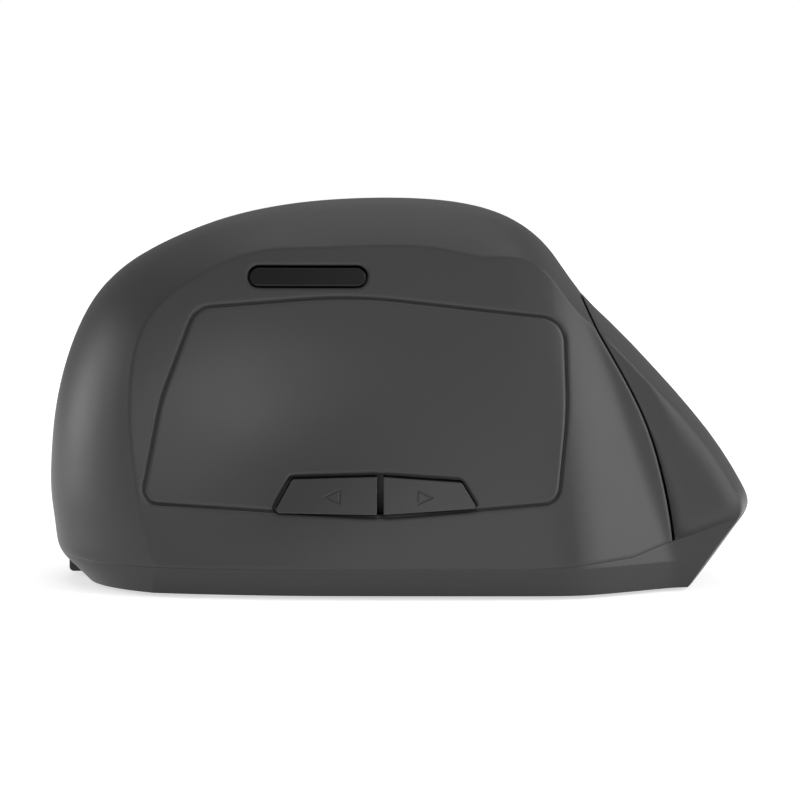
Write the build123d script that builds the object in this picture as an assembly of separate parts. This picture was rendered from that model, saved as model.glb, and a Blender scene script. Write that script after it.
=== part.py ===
from build123d import *
import math
import os

# Right-handed vertical computer mouse, wireless, in millimetres.
# +Y is the front, +Z is up and the thumb side faces -X. The feet rest on Z = 0.

# Driving dimensions: the overall form.
body_height = 66.6
front_length = 60.0
rear_length = 60.0
finger_reach = 42.5
thumb_reach = 32.0
wall = 2.0
foot_height = 0.6
floor_thickness = 2.0
band_height = 5.5
ledge_reach = 34.4

# Driving dimensions: gaps and travels.
key_gap = 0.45
button_gap = 0.42
button_shift = 0.2
running_gap = 0.05
seam_gap = 0.22
seam_gap_foot = 0.55
seam_depth = 1.3

# Driving dimensions: bought-in pieces and boards.
cell_length = 50.5
cell_diameter = 14.2
board_thickness = 1.6
screw_diameter = 2.0
screw_head_diameter = 4.4

# Driving dimensions: the wheel.
wheel_diameter = 22.0
wheel_width = 7.0
axle_diameter = 2.5

# Landmarks of the form.
ridge_x = -9.0
nose_x = -5.0
ridge_parting_x = -5.0
side_cap_x = 33.0
underside = foot_height
floor_top = underside + floor_thickness
parting_z = band_height - 0.15

# Side silhouette at the ridge as (Y, Z), from the front of the base over the top to the tail.
# The last two fifths hold the rear corner, the straight spine, the tail tip and its undercut.
# It is drawn for a body of these sizes and scaled to the driving ones.
drawn_height = 66.6
drawn_front = 60.0
drawn_rear = 60.0
SILHOUETTE = [
    (49.0, -4.0), (53.5, 0.6), (56.2, 3.2), (57.9, 4.9), (58.6, 6.0), (59.3, 9.5), (60.0, 15.0),
    (60.0, 22.0), (59.4, 29.0), (58.0, 36.2), (55.7, 43.2), (52.3, 49.6), (46.8, 55.2), (39.8, 59.3),
    (32.6, 62.3), (25.7, 64.3), (17.0, 65.8), (8.0, 66.5), (0.0, 66.6), (-8.0, 66.1), (-15.0, 64.7),
    (-20.5, 62.3), (-25.3, 58.3), (-28.6, 53.8), (-31.8, 49.6), (-36.5, 44.9), (-43.2, 37.9),
    (-49.9, 30.3), (-55.3, 23.2), (-58.9, 17.2), (-60.0, 13.8), (-58.4, 10.9), (-54.7, 5.8),
    (-51.2, 1.2), (-47.4, -4.0),
]


def only_solid(shape):
    """The largest solid of a shape."""
    return max(shape.solids(), key=lambda solid: solid.volume)


def box(x0, x1, y0, y1, z0, z1):
    """An upright block between two corners."""
    return Pos((x0 + x1) / 2, (y0 + y1) / 2, (z0 + z1) / 2) * Box(x1 - x0, y1 - y0, z1 - z0)


def rod(x, y, z0, z1, diameter):
    """An upright cylinder."""
    return Pos(x, y, (z0 + z1) / 2) * Cylinder(diameter / 2, z1 - z0)


def rod_x(x0, x1, y, z, diameter):
    """A cylinder lying along X."""
    return Pos((x0 + x1) / 2, y, z) * Rot(0, 90, 0) * Cylinder(diameter / 2, x1 - x0)


def rod_y(x, y0, y1, z, diameter):
    """A cylinder lying along Y."""
    return Pos(x, (y0 + y1) / 2, z) * Rot(90, 0, 0) * Cylinder(diameter / 2, y1 - y0)


def side_prism(points, x0=-60.0, x1=60.0):
    """A polygon in the side view, as (Y, Z), carried along X."""
    face = Face(Wire.make_polygon([(x0, y, z) for y, z in points], close=True))
    return extrude(face, x1 - x0, dir=(1, 0, 0))


def front_prism(points, y0=-90.0, y1=90.0):
    """A polygon in the front view, as (X, Z), carried along Y."""
    face = Face(Wire.make_polygon([(x, y0, z) for x, z in points], close=True))
    return extrude(face, y1 - y0, dir=(0, 1, 0))


# The outer form is a dome, lofted through side views, met by a leaning thumb wall.
def height_share(x, inset):
    """How high the side view stands at x, as a share of its height at the ridge."""
    if x >= ridge_x:
        u = (x - ridge_x) / (finger_reach - inset)
        return (1 - min(u, 0.9999) ** 2) ** 0.83
    return 1 - (0.001313 + 0.000025 * inset) * (ridge_x - x) ** 1.8


def front_share(x, inset):
    """How far forward the side view reaches at x."""
    reach = finger_reach + 0.5 - inset if x >= nose_x else thumb_reach
    power = 2.4 if x >= nose_x else 2.3
    u = min(abs(x - nose_x) / reach, 0.985)
    return (1 - u ** power) ** (1 / power)


def rear_share(x, inset):
    """How far back the side view reaches at x."""
    if x >= ridge_x:
        u = min((x - ridge_x) / (finger_reach + 3.5 - inset), 0.999)
        return (1 - u ** 2.2) ** (1 / 2.2)
    return 1 - 0.0006 * (ridge_x - x) ** 1.55


def eased(amount):
    """A smooth step from nought to one."""
    share = min(max(amount, 0.0), 1.0)
    return share * share * (3 - 2 * share)


def crest_hold(x, y):
    """How much of the ridge's height the dome keeps on the thumb side: most of it down the spine."""
    if x >= ridge_x:
        return 0.0
    return 0.12 + 0.22 * eased((y - 10.0) / 22.0) + 0.68 * eased((-y - 12.0) / 18.0)


def dome_point(x, y, z, inset):
    """A point of the side silhouette, moved to where the dome's side view has it at x."""
    share = height_share(x, inset)
    share += (1 - share) * crest_hold(x, y)
    if y > 0:
        y = y * (front_length - inset) / drawn_front * front_share(x, inset)
    else:
        y = y * (rear_length - 1.2 * inset) / drawn_rear * rear_share(x, inset)
    if z > band_height:
        z = z * (body_height - inset) / drawn_height
        z = band_height + (z - band_height) * share
    return x, y, z


def lofted(rows, corners):
    """A solid through one spline per row, each row closed by straight lines through its corners."""
    middle = rows[len(rows) // 2]
    run = [0.0]
    for here, there in zip(middle, middle[1:]):
        run.append(run[-1] + math.dist(here, there))
    knots = [length / run[-1] for length in run]
    wires = []
    for row, stops in zip(rows, corners):
        curve = Edge.make_spline([Vector(*point) for point in row], parameters=knots)
        path = [row[-1]] + stops + [row[0]]
        wires.append(Wire([curve] + [Edge.make_line(a, b) for a, b in zip(path, path[1:])]))
    return Solid.make_loft(wires, len(rows) == 2)


def dome(inset):
    """The top, front, finger side and tail."""
    angles = (0, 10, 20, 30, 40, 50, 59, 67, 74, 80, 84)
    right = [ridge_x + (finger_reach - inset) * math.sin(math.radians(a)) for a in angles]
    left = [-37.0 + 4.0 * step for step in range(7)]
    rows = [[dome_point(x, y, z, inset) for y, z in SILHOUETTE] for x in left + right]
    return lofted(rows, [[] for row in rows])


def facet_y(z):
    """Where the thumb face turns into the rear facet."""
    return -25.5 - 0.11 * (58 - z)


def seam_y(z):
    """Where the rear facet ends at the palm shell's flank."""
    return min(-27.6 - 0.62 * max(57 - z, 0) ** 0.875, facet_y(z) - 2.5)


def bend(distance, softness):
    """Zero before a line and rising straight after it, with a rounded start."""
    return softness * math.log1p(math.exp(min(distance / softness, 40.0)))


def thumb_depth(y, z):
    """How far the thumb side stands out towards -X."""
    lean = 34.0 - 0.115 * (z - band_height) - 0.0021 * (z - band_height) ** 2
    scoop = 2.6 * math.exp(-(((y - 24) / 20) ** 2) - ((z - 27) / 15) ** 2)
    facet = 0.72 * bend(facet_y(z) - y, 2.0) - 0.50 * bend(seam_y(z) - y, 0.6)
    nose = 0.0016 * max(0.0, y - 10) ** 2 * (1 + 0.085 * bend(25 - z, 4))
    return lean - scoop - facet - nose


def thumb_columns(z):
    """Places along Y that follow the facet crease and the seam, from the front to the tail."""
    facet = facet_y(z)
    seam = seam_y(z)
    places = [72, 62, 52, 43, 34, 25, 16, 7, -2, -11, facet + 9, facet + 5, facet + 2.5, facet + 1]
    places += [facet + (seam + 1 - facet) * step / 6 for step in range(6)]
    return places + [seam + 1, seam, seam - 1, seam - 2.5, seam - 5, seam - 9, -72]


def thumb_side():
    """Everything on the inner side of the thumb wall's outer face, from the band upwards."""
    rows = []
    for z in range(-8, 77, 6):
        rows.append([(-thumb_depth(y, z), y, z) for y in thumb_columns(z)])
    return lofted(rows, [[(60, -72, row[0][2]), (60, 72, row[0][2])] for row in rows])


def band_side():
    """The thumb side below the band, where the case tucks in by half a millimetre a millimetre."""
    rows = []
    for z in (-5, 75):
        tuck = 0.5 * (band_height - z)
        rows.append([(tuck - thumb_depth(y, band_height), y, z) for y in thumb_columns(band_height)])
    return lofted(rows, [[(60, -72, row[0][2]), (60, 72, row[0][2])] for row in rows])


THUMB_SIDE = thumb_side()
BAND_SIDE = band_side()


def inward(inset):
    """The thumb wall's two faces, moved in by a thickness."""
    return Pos(1.06 * inset, 0, 0) * THUMB_SIDE


def form(inset, low, high=80.0):
    """The body's outer form, or the same form moved in by an inset."""
    room = box(-40, side_cap_x - inset, -80, 80, low, high)
    return only_solid(room & dome(inset) & inward(inset) & (Pos(1.12 * inset, 0, 0) * BAND_SIDE))


OUTER = form(0, underside)
CAVITY = form(wall, floor_top)
INSIDE = form(wall - 0.4, floor_top)
LINER = form(wall + 0.4, floor_top)
SHELL = OUTER - CAVITY

# Two working frames on the finger side. Both have X down the slope, Y to the front and Z outwards.
# The keys press along the first one's Z, and the wheel stands square to the surface in the second.
press_slope = 28.0
wheel_slope = 54.1
frame_x = 13.0
frame_z = 48.3


def finger_frame(slope):
    across = math.radians(slope)
    return Plane(
        origin=(frame_x, 0, frame_z),
        x_dir=(math.cos(across), 0, -math.sin(across)),
        z_dir=(math.sin(across), 0, math.cos(across)),
    ).location


PRESS = finger_frame(press_slope)
WHEEL = finger_frame(wheel_slope)


def front_point(frame, s, n):
    """A point of a finger frame in the front view, as (X, Z)."""
    spot = (frame * Pos(s, 0, n)).position
    return spot.X, spot.Z


# Zones that part the shells. The bottom case ends level, then rises in two slopes to the tail tip.
PARTING = [(90, parting_z), (-22, parting_z), (-40, parting_z + 1.4), (-90, parting_z + 17.7)]
LOWER = side_prism(PARTING + [(-90, -10), (90, -10)])
SEAM = [(-24, 66), (-27.4, 57), (-30.4, 51.3), (-35.3, 42.5), (-39.2, 35.5), (-42.4, 28.5),
        (-44.8, 20.5), (-46.3, 13), (-47.2, 4)]
ridge_parting_s = -18.3
key_low_s = 21.0
key_rear_y = 2.0
key_front_y = 46.5
key_depth = 16.0


def seam_prism(gap, foot_gap):
    """Everything ahead of the thumb shell's rear seam, and of a gap behind it that widens downwards."""
    spread = (foot_gap - gap) / body_height
    line = [Vector(-60, y - gap - spread * (body_height - z), z) for y, z in SEAM]
    corners = [(line[-1].Y, -10), (90, -10), (90, 90), (line[0].Y, 90)]
    path = [line[-1]] + [Vector(-60, y, z) for y, z in corners] + [line[0]]
    edges = [Edge.make_line(a, b) for a, b in zip(path, path[1:])]
    return extrude(Face(Wire([Edge.make_spline(line)] + edges)), 120, dir=(1, 0, 0))


def finger_zone(shift):
    """Everything past the ridge parting, on the finger side."""
    inner = front_point(PRESS, ridge_parting_s + shift, 0)
    outer = front_point(PRESS, ridge_parting_s + shift, 60)
    knee_x = ridge_parting_x + shift
    knee_z = inner[1] + (knee_x - inner[0]) * (outer[1] - inner[1]) / (outer[0] - inner[0])
    return front_prism([(knee_x, -10), (knee_x, knee_z), outer, (90, outer[1]), (90, -10)])


def key_zone(s0, s1, grow):
    """A key's space between two lines down the slope, less the front corner where the body turns in."""
    y0 = key_rear_y - grow
    y1 = key_front_y + grow
    corners = [(s0, y0), (s1, y0), (s1, y1 - 11), (s1 - 4, y1 - 5), (s1 - 11, y1), (s0, y1)]
    if s1 < key_low_s:
        return PRESS * box(s0, s1, y0, y1, -key_depth, 40)
    face = Face(Wire.make_polygon([(s, y, -key_depth) for s, y in corners], close=True))
    return PRESS * extrude(face, key_depth + 40, dir=(0, 0, 1))


FINGER_ZONE = finger_zone(0)
THUMB_ZONE = seam_prism(0, 0) - FINGER_ZONE - LOWER
SEAM_GROOVE = seam_prism(seam_gap, seam_gap_foot) - finger_zone(seam_gap) - LOWER
SEAM_GROOVE = SEAM_GROOVE - form(seam_depth, underside - 1)
KEYS_ZONE = key_zone(ridge_parting_s, key_low_s + key_gap, key_gap) & FINGER_ZONE

# Thumb wall features, drawn in the side view as (Y, Z).
pill_length = 20.6
pill_height = 3.8
pill_centre = (15.7, 54.7)
PANEL = [(44.3, 16.4), (40.9, 34.0), (35.0, 49.4), (8.5, 51.6), (-28.3, 47.6), (-28.8, 32.0),
         (-27.2, 16.8), (3.0, 14.2)]
PANEL_RADII = [2.5, 30.0, 4.0, 90.0, 4.5, 60.0, 3.0, 60.0]
OPENING = [(22.4, 14.8), (18.8, 21.2), (3.4, 21.8), (-10.7, 20.9), (-13.8, 15.8), (3.4, 14.6)]
OPENING_RADII = [1.0, 1.0, 20.0, 1.2, 0.8, 20.0]
divider_y = 3.3
divider_half = 0.6
groove_width = 0.55
groove_depth = 0.5
proud = 0.7


def side_outline(points, radii, grow=0.0):
    """A rounded outline in the side view, made larger or smaller all round."""
    corners = [(-60, y, z) for y, z in points]
    wire = FilletPolyline(*corners, radius=radii, close=True)
    face = Face(Wire(wire.edges()))
    if grow:
        face = offset(face, grow).faces()[0]
    return extrude(face, 55, dir=(1, 0, 0))


def pill_outline(grow):
    """The resolution button's rounded slot in the side view."""
    y, z = pill_centre
    radius = pill_height / 2 + grow
    half = pill_length / 2 - pill_height / 2
    ends = [rod_x(-60, -5, y + end * half, z, 2 * radius) for end in (-1, 1)]
    return box(-60, -5, y - half, y + half, z - radius, z + radius) + ends[0] + ends[1]


def wall_slice(outer_inset, inner_inset):
    """The part of the thumb side between two depths."""
    return inward(outer_inset) - inward(inner_inset)


def thumb_shell():
    """Top, front band and thumb face in one moulding, with posts for the side board."""
    shell = only_solid(SHELL & THUMB_ZONE)
    half = groove_width / 2
    ring = side_outline(PANEL, PANEL_RADII, half) - side_outline(PANEL, PANEL_RADII, -half)
    ring = ring & box(-60, -12, -80, 80, 0, 80)
    shell = shell - (ring - inward(groove_depth))
    shell = shell - side_outline(OPENING, OPENING_RADII) - pill_outline(0)
    shell = shell + [board_posts() & THUMB_ZONE, case_posts(THUMB_SCREWS) & THUMB_ZONE]
    return only_solid(shell)


# Boards and what stands on them.
side_board_x = -18.0
BOARD_POSTS = [(-11, 29), (23, 31), (-8, 52), (1, 40)]
THUMB_SCREWS = [(-26.5, 31), (-25.5, -22)]
PALM_SCREWS = [(13, 47.5), (13, -36)]
CASE_SCREWS = THUMB_SCREWS + PALM_SCREWS
case_screw_top = 14.0


def board_posts():
    posts = [rod_x(-45, side_board_x, y, z, 4.4) for y, z in BOARD_POSTS]
    holes = [rod_x(side_board_x - 3.5, 0, y, z, screw_diameter) for y, z in BOARD_POSTS]
    return ((posts[0] + posts[1:]) & INSIDE) - holes


def case_posts(places, top=70.0):
    """Screw posts that stand on the bottom case and run up into a shell."""
    posts = [rod(x, y, parting_z, top, 6.0) for x, y in places]
    posts += [box(x - 1, x + 1, y, y + 12, parting_z, top) for x, y in places if y > 40]
    posts = (posts[0] + posts[1:]) & INSIDE
    return posts - [rod(x, y, 0, case_screw_top - 0.5, screw_diameter) for x, y in places]


def palm_shell():
    """Tail, palm side, skirt under the keys and front wall."""
    shell = only_solid((SHELL - LOWER) - THUMB_ZONE - SEAM_GROOVE - KEYS_ZONE)
    shell = shell + case_posts(PALM_SCREWS[:1], 18) + case_posts(PALM_SCREWS[1:])
    return only_solid(shell)


def bottom_case():
    """Floor, rim, battery bay and the bosses that carry the boards and the frame."""
    case = only_solid((SHELL & LOWER))
    bosses = [rod(x, y, floor_top - 0.5, parting_z, 7.0) for x, y in CASE_SCREWS]
    bosses += [rod(x, y, floor_top - 0.5, frame_foot_z, 7.0) for x, y in FRAME_FEET]
    bosses += [rod(x, y, floor_top - 0.5, main_board_z, 4.4) for x, y in MAIN_BOARD_POSTS]
    bay = box(-bay_half - 1, bay_half + 1, bay_rear_y - 1, bay_front_y + 1, floor_top - 0.5, 12)
    bay = bay - box(-bay_half, bay_half, bay_rear_y, bay_front_y, floor_top - 1, 20)
    lips = box(-bay_half - 1, bay_half + 1, bay_rear_y - 1, bay_front_y + 1, 2.2, 3.4)
    tray = box(bay_half, 17.2, -31.2, -10.8, floor_top - 0.5, 9) - box(bay_half, 16.2, -30.2, -11.8, 0, 20)
    case = case + [(bosses[0] + bosses[1:]) & INSIDE, bay & LINER, lips & LINER, tray & LINER]
    holes = [rod(x, y, 0, underside + 2.6, screw_head_diameter + 0.5) for x, y in CASE_SCREWS]
    holes += [rod(x, y, 0, 20, screw_diameter + 0.4) for x, y in CASE_SCREWS]
    holes += [rod(x, y, 3.0, 20, screw_diameter) for x, y in FRAME_FEET + MAIN_BOARD_POSTS]
    holes += [box(-door_half, door_half, -70, door_front_y, 0, door_top)]
    holes += [box(-6.2, 6.2, bay_rear_y, door_front_y - 2, 0, 3.5)]
    holes += [box(-4, 4, sensor_y - 5, sensor_y + 5, 0, 4)]
    holes += [box(slider_x - 1.6, slider_x + 1.6, slider_y - 4.6, slider_y + 4.6, 0, 4)]
    return only_solid(case - holes)


# Bottom layout.
cell_rest = 1.3
cell_z = floor_top + cell_rest + cell_diameter / 2
cell_rear_y = -41.0
bay_half = cell_diameter / 2 + 0.5
bay_rear_y = -44.4
bay_front_y = 11.0
door_half = 7.4
door_front_y = 4.0
door_top = 2.2
door_gap = 0.15
door_groove_step = 2.0
main_board_z = 7.0
MAIN_BOARD_POSTS = [(-19, 20), (-19, 38), (10, 20)]
frame_foot_z = 8.0
FRAME_FEET = [(-bay_half - 4.4, -5), (17.5, -5), (-12, 45.5), (17.5, 40)]
sensor_y = 30.0
slider_x = 21.0
slider_y = -18.0


def battery_door():
    """A plate that slides out under the tail, with four grooves for a fingertip."""
    half = door_half - door_gap
    plate = only_solid(OUTER & box(-half, half, -70, door_front_y - 0.2, 0, door_top - 0.1))
    grooves = []
    for step in range(4):
        groove_y = -8 - door_groove_step * step
        grooves.append(box(-4, 4, groove_y, groove_y + 1, 0, underside + 0.5))
    return only_solid(plate - grooves)


def frame_columns():
    columns = []
    for x, y in FRAME_FEET:
        columns.append(box(x - 2, x + 2, y - 2, y + 2, frame_foot_z, 60))
    return columns


plate_n = -21.0
plate_thickness = 1.5
pin_y = -3.0
pin_n = -12.0
pin_diameter = 2.0
ARMS = [(-14.6, -11.2), (-4.8, -1.4), (1.4, 4.8), (11.2, 14.6)]
BRACKETS = [(-16.6, -14.9), (-1.1, 1.1), (14.9, 16.6)]
bracket_half = 2.4
lug_half = 2.2
lug_reach = 7.6
LUGS = [(-lug_reach, -5.8), (5.8, lug_reach)]
wheel_y = 28.0
wheel_n = -6.5
wheel_radius = wheel_diameter / 2
tread_height = 3.0
pivot_y = wheel_y - wheel_radius
pivot_n = wheel_n - wheel_radius + 1.5
slot_width = wheel_width + 1.6
slot_half = wheel_radius - 3.0
cradle_half = wheel_width / 2 + 0.9
cradle_thickness = 1.0
cradle_room = wheel_radius + 0.4
cradle_end = cradle_room + cradle_thickness
click_base_n = -14.0
click_top_n = -10.8
click_y = wheel_y + wheel_radius + 5.0


def inner_frame():
    """The sloping frame that carries the key board, the key pin and the wheel cradle."""
    plate = PRESS * box(-19.3, 18.0, -8, 47.5, plate_n - plate_thickness, plate_n)
    above = PRESS * box(-60, 60, -80, 80, plate_n - plate_thickness, 40)
    below = PRESS * box(-90, 90, -90, 90, -90, plate_n - 0.5)
    y0 = pin_y - bracket_half
    y1 = pin_y + bracket_half
    brackets = [PRESS * box(a, b, y0, y1, plate_n - 0.5, pin_n + lug_half) for a, b in BRACKETS]
    y0 = pivot_y - lug_half
    y1 = pivot_y + lug_half
    lugs = [WHEEL * box(a, b, y0, y1, -40, pivot_n + lug_half) for a, b in LUGS]
    stand = WHEEL * box(-3.4, 3.4, click_y - 3.5, click_y + 3, -40, click_base_n)
    frame = plate + brackets + [lug & above for lug in lugs] + [stand & above]
    frame = frame + [column & below for column in frame_columns()]
    frame = frame - PRESS * rod_x(-17, 17, pin_y, pin_n, pin_diameter)
    frame = frame - WHEEL * rod_x(-9, 9, pivot_y, pivot_n, axle_diameter + 2 * running_gap)
    return only_solid(frame & LINER)


FRAME = inner_frame()
key_pin = PRESS * rod_x(-16.6, 16.6, pin_y, pin_n, pin_diameter)


def wheel_slot():
    """The long round-ended slot that the wheel stands in, cut from both keys."""
    half = slot_width / 2
    slot = WHEEL * box(-half, half, wheel_y - slot_half, wheel_y + slot_half, -12, 30)
    return slot + [WHEEL * rod(0, wheel_y + side * slot_half, -12, 30, slot_width) for side in (-1, 1)]


def key(s0, s1, arms, boss_s):
    """A sprung key: its shell, two arms down to the pin and the boss that works its switch."""
    zone = key_zone(s0, s1, 0) & finger_zone(key_gap)
    body = only_solid(SHELL & zone)
    for a, b in arms:
        bar = PRESS * box(a, b, pin_y, 9, pin_n - 1.8, pin_n + 1.6)
        riser = (PRESS * box(a, b, 5.4, 9, pin_n - 1.8, 20)) & INSIDE
        eye = PRESS * rod_x(a, b, pin_y, pin_n, 4.8)
        body = body + [bar, riser, eye]
    boss = (PRESS * rod(boss_s, switch_y, plunger_n, 20, 3.2)) & INSIDE
    body = body + boss
    body = body - PRESS * rod_x(-20, 20, pin_y, pin_n, pin_diameter + 2 * running_gap)
    return only_solid(body - wheel_slot())


switch_y = 34.0
plunger_n = -12.4
switch_top_n = -13.0
LEFT_SWITCH_S = -16.6
RIGHT_SWITCH_S = 12.0
switch_half_length = 6.4
switch_half_width = 2.9
plunger_diameter = 2.2
plunger_hole = 2.8


def key_board():
    board = PRESS * box(-19, 17, 5, 46, plate_n, plate_n + board_thickness)
    board = board - PRESS * box(-14.4, 2.6, 12, 41.2, plate_n - 1, plate_n + 3)
    return only_solid((board & LINER) - FRAME)


def key_switch(s):
    s0 = s - switch_half_width
    s1 = s + switch_half_width
    y0 = switch_y - switch_half_length
    y1 = switch_y + switch_half_length
    body = PRESS * box(s0, s1, y0, y1, plate_n + board_thickness, switch_top_n)
    return body - PRESS * rod(s, switch_y, switch_top_n - 2.2, 0, plunger_hole)


def key_plunger(s):
    return PRESS * rod(s, switch_y, switch_top_n - 0.6, plunger_n, plunger_diameter)


def wheel_hub():
    core = WHEEL * rod_x(-3.0, 3.0, wheel_y, wheel_n, wheel_diameter - 2 * tread_height)
    return core + WHEEL * rod_x(-5.3, 7.6, wheel_y, wheel_n, axle_diameter)


def wheel_tyre():
    ring = rod_x(-wheel_width / 2, wheel_width / 2, wheel_y, wheel_n, wheel_diameter)
    ring = fillet(ring.edges().filter_by(GeomType.CIRCLE), 1.2)
    ring = ring - rod_x(-9, 9, wheel_y, wheel_n, wheel_diameter - 2 * tread_height)
    notches = []
    for step in range(24):
        angle = math.radians(15 * step)
        y = wheel_y + wheel_diameter / 2 * math.cos(angle)
        n = wheel_n + wheel_diameter / 2 * math.sin(angle)
        notches.append(rod_x(-2.6, 2.6, y, n, 1.0))
    return WHEEL * (ring - notches)


def wheel_cradle():
    """The frame that the wheel turns in. Its front arm presses the switch when the wheel is pushed."""
    inner = cradle_half
    outer = cradle_half + cradle_thickness
    rear = pivot_y - lug_half
    front = wheel_y + cradle_end
    cradle = box(-outer, outer, rear, front, wheel_n - cradle_end - 0.2, wheel_n + 2.4)
    cradle = cradle - box(-inner, inner, pivot_y - 5, wheel_y + cradle_room, wheel_n - cradle_room - 0.2, 10)
    cradle = cradle - box(-9, 9, pivot_y - 5, wheel_y - 3.4, pivot_n + lug_half, 10)
    cradle = cradle - box(-9, 9, wheel_y + 3.4, front + 2.6, -9.8, 10)
    arm = box(-3, 3, wheel_y + cradle_room, click_y + 2.5, -9.8, -8.4)
    arm_root = box(-3, 3, wheel_y + cradle_room, front, -12, -8.4)
    ends = ((-lug_reach, -inner), (inner, lug_reach))
    stubs = [rod_x(a, b, pivot_y, pivot_n, axle_diameter) for a, b in ends]
    cradle = cradle + arm + arm_root + stubs
    cradle = cradle - rod_x(-9, 9, wheel_y, wheel_n, axle_diameter + 2 * running_gap)
    return only_solid(WHEEL * cradle)


def encoder():
    block = box(5.4, 8.4, wheel_y - 4.5, wheel_y + 4.5, -12, -4.2)
    return WHEEL * (block - rod_x(0, 8, wheel_y, wheel_n, axle_diameter + 2 * running_gap))


def wheel_switch():
    body = box(-3, 3, click_y - 3, click_y + 3, click_base_n, click_top_n)
    return WHEEL * (body - rod(0, click_y, -12.4, 0, plunger_hole))


def wheel_plunger():
    return WHEEL * rod(0, click_y, -11.2, -9.8, plunger_diameter)


# Thumb side buttons, their board and switches. An arrow is (tip, base) along Y.
THUMB_SWITCHES = {"forward": (11.5, 18.0), "back": (-4.2, 18.0)}
ARROWS = {"forward": (13.1, 10.1), "back": (-5.9, -2.9)}
BUTTONS = {name: (THUMB_SWITCHES[name], ARROWS[name]) for name in ARROWS}
arrow_z = 17.8
arrow_half_height = 1.35
arrow_hollow = 0.65
arrow_depth = 0.15


def arrow_groove(tip, base):
    """A triangle's outline, pressed into a button's face."""
    outer = [(tip, arrow_z), (base, arrow_z + arrow_half_height), (base, arrow_z - arrow_half_height)]
    middle = (tip + 2 * base) / 3
    inner = []
    for y, z in outer:
        inner.append((middle + arrow_hollow * (y - middle), arrow_z + arrow_hollow * (z - arrow_z)))
    ring = side_prism(outer, -45, -20) - side_prism(inner, -45, -20)
    return ring & wall_slice(-2 * proud, arrow_depth - proud)


def thumb_button(y0, y1, spot, arrow):
    """A raised face, a lip behind the wall that keeps it in, and a stem to its switch."""
    side = box(-60, -12, y0, y1, 0, 40)
    outline = Pos(0, -button_shift, -button_shift) * side_outline(OPENING, OPENING_RADII, -button_gap)
    face = (outline & side & wall_slice(-proud, wall + 1.2)) - arrow_groove(*arrow)
    lip = side_outline(OPENING, OPENING_RADII, 1.2) & side & wall_slice(wall + 0.3, wall + 1.3) & LINER
    stem = rod_x(-45, stem_x, spot[0], spot[1], 3.2) & inward(wall + 0.8)
    return only_solid(face + [lip, stem])


stem_x = -22.4
dpi_stem_x = -19.6


def dpi_button():
    face = pill_outline(-button_gap) & wall_slice(-0.35, wall + 0.6)
    lip = pill_outline(0.9) & wall_slice(wall + 0.15, wall + 0.75) & LINER
    stem = rod_x(-45, dpi_stem_x, *pill_centre, 3.0) & inward(wall + 0.5)
    return only_solid(face + [lip, stem])


def thumb_switch(spot):
    y, z = spot
    body = box(side_board_x - 3.4, side_board_x, y - 3, y + 3, z - 3, z + 3)
    return body - rod_x(-40, side_board_x - 1.9, y, z, plunger_hole)


def thumb_plunger(spot):
    return rod_x(stem_x, side_board_x - 2.8, *spot, plunger_diameter)


def dpi_switch():
    body = box(side_board_x - 0.9, side_board_x, 12.7, 18.7, 52.2, 57.2)
    return body - rod_x(-40, -10, *pill_centre, plunger_hole)


def side_board():
    board = box(side_board_x, side_board_x + board_thickness, -14, 27, 12, 57.4)
    board = board - [rod_x(-30, 0, y, z, screw_diameter + 0.3) for y, z in BOARD_POSTS]
    return only_solid(board & LINER)


def main_board():
    board = box(-22, 14, 16.5, 41.5, main_board_z, main_board_z + board_thickness)
    board = board - [rod(x, y, 0, 20, screw_diameter + 0.3) for x, y in MAIN_BOARD_POSTS]
    return only_solid(board)


def screw_up(x, y, z_head, z_tip):
    return rod(x, y, z_head, z_head + 1.3, screw_head_diameter) + rod(x, y, z_head, z_tip, screw_diameter)


def screws():
    tops = [screw_up(x, y, underside + 1.3, case_screw_top - 0.5) for x, y in CASE_SCREWS]
    return Compound(children=[only_solid(top) for top in tops])


def board_screws():
    down = []
    for x, y in MAIN_BOARD_POSTS:
        top = main_board_z + board_thickness
        down.append(rod(x, y, top, top + 1.2, 4.0) + rod(x, y, 3.4, top, screw_diameter))
    for y, z in BOARD_POSTS:
        back = side_board_x + board_thickness
        shank = rod_x(side_board_x - 3.5, back, y, z, screw_diameter)
        down.append(rod_x(back, back + 1.2, y, z, 4.0) + shank)
    return Compound(children=[only_solid(screw) for screw in down])


ledge_low_z = 0.8
ledge_thickness = 4.0
ledge_front = 57.2
ledge_rear = 53.0
ledge_rounding = 0.8


def finger_ledge():
    """A gloss shelf round the foot of the finger side, standing a little outside the body's outline."""
    widen = ledge_reach / side_cap_x
    places = (0, 6, 12, 18, 23, 27, 30)
    front = [(widen * x, ledge_front * front_share(x, 0), ledge_low_z) for x in places]
    rear = [(widen * x, -ledge_rear * rear_share(x, 0), ledge_low_z) for x in reversed(places[2:])]
    side = [(ledge_reach - turn, y, ledge_low_z) for turn, y in ((0.25, 25), (0, 4), (0.25, -20))]
    outline = [Vector(*point) for point in front + side + rear]
    shelf = Face(Wire([Edge.make_spline(outline), Edge.make_line(outline[-1], outline[0])]))
    shelf = extrude(shelf, ledge_thickness, dir=(0, 0, 1))
    shelf = fillet(shelf.edges().sort_by(SortBy.LENGTH)[-2:], ledge_rounding)
    return only_solid(shelf - OUTER)


def feet():
    front = box(-16, 8, 37, 45, 0, foot_height)
    front = fillet(front.edges().filter_by(Axis.Z), 3.5)
    rear = [box(x - 3.5, x + 3.5, -32.5, -17, 0, foot_height) for x in (-15.5, 13)]
    return front, [fillet(foot.edges().filter_by(Axis.Z), 3.2) for foot in rear]


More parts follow.
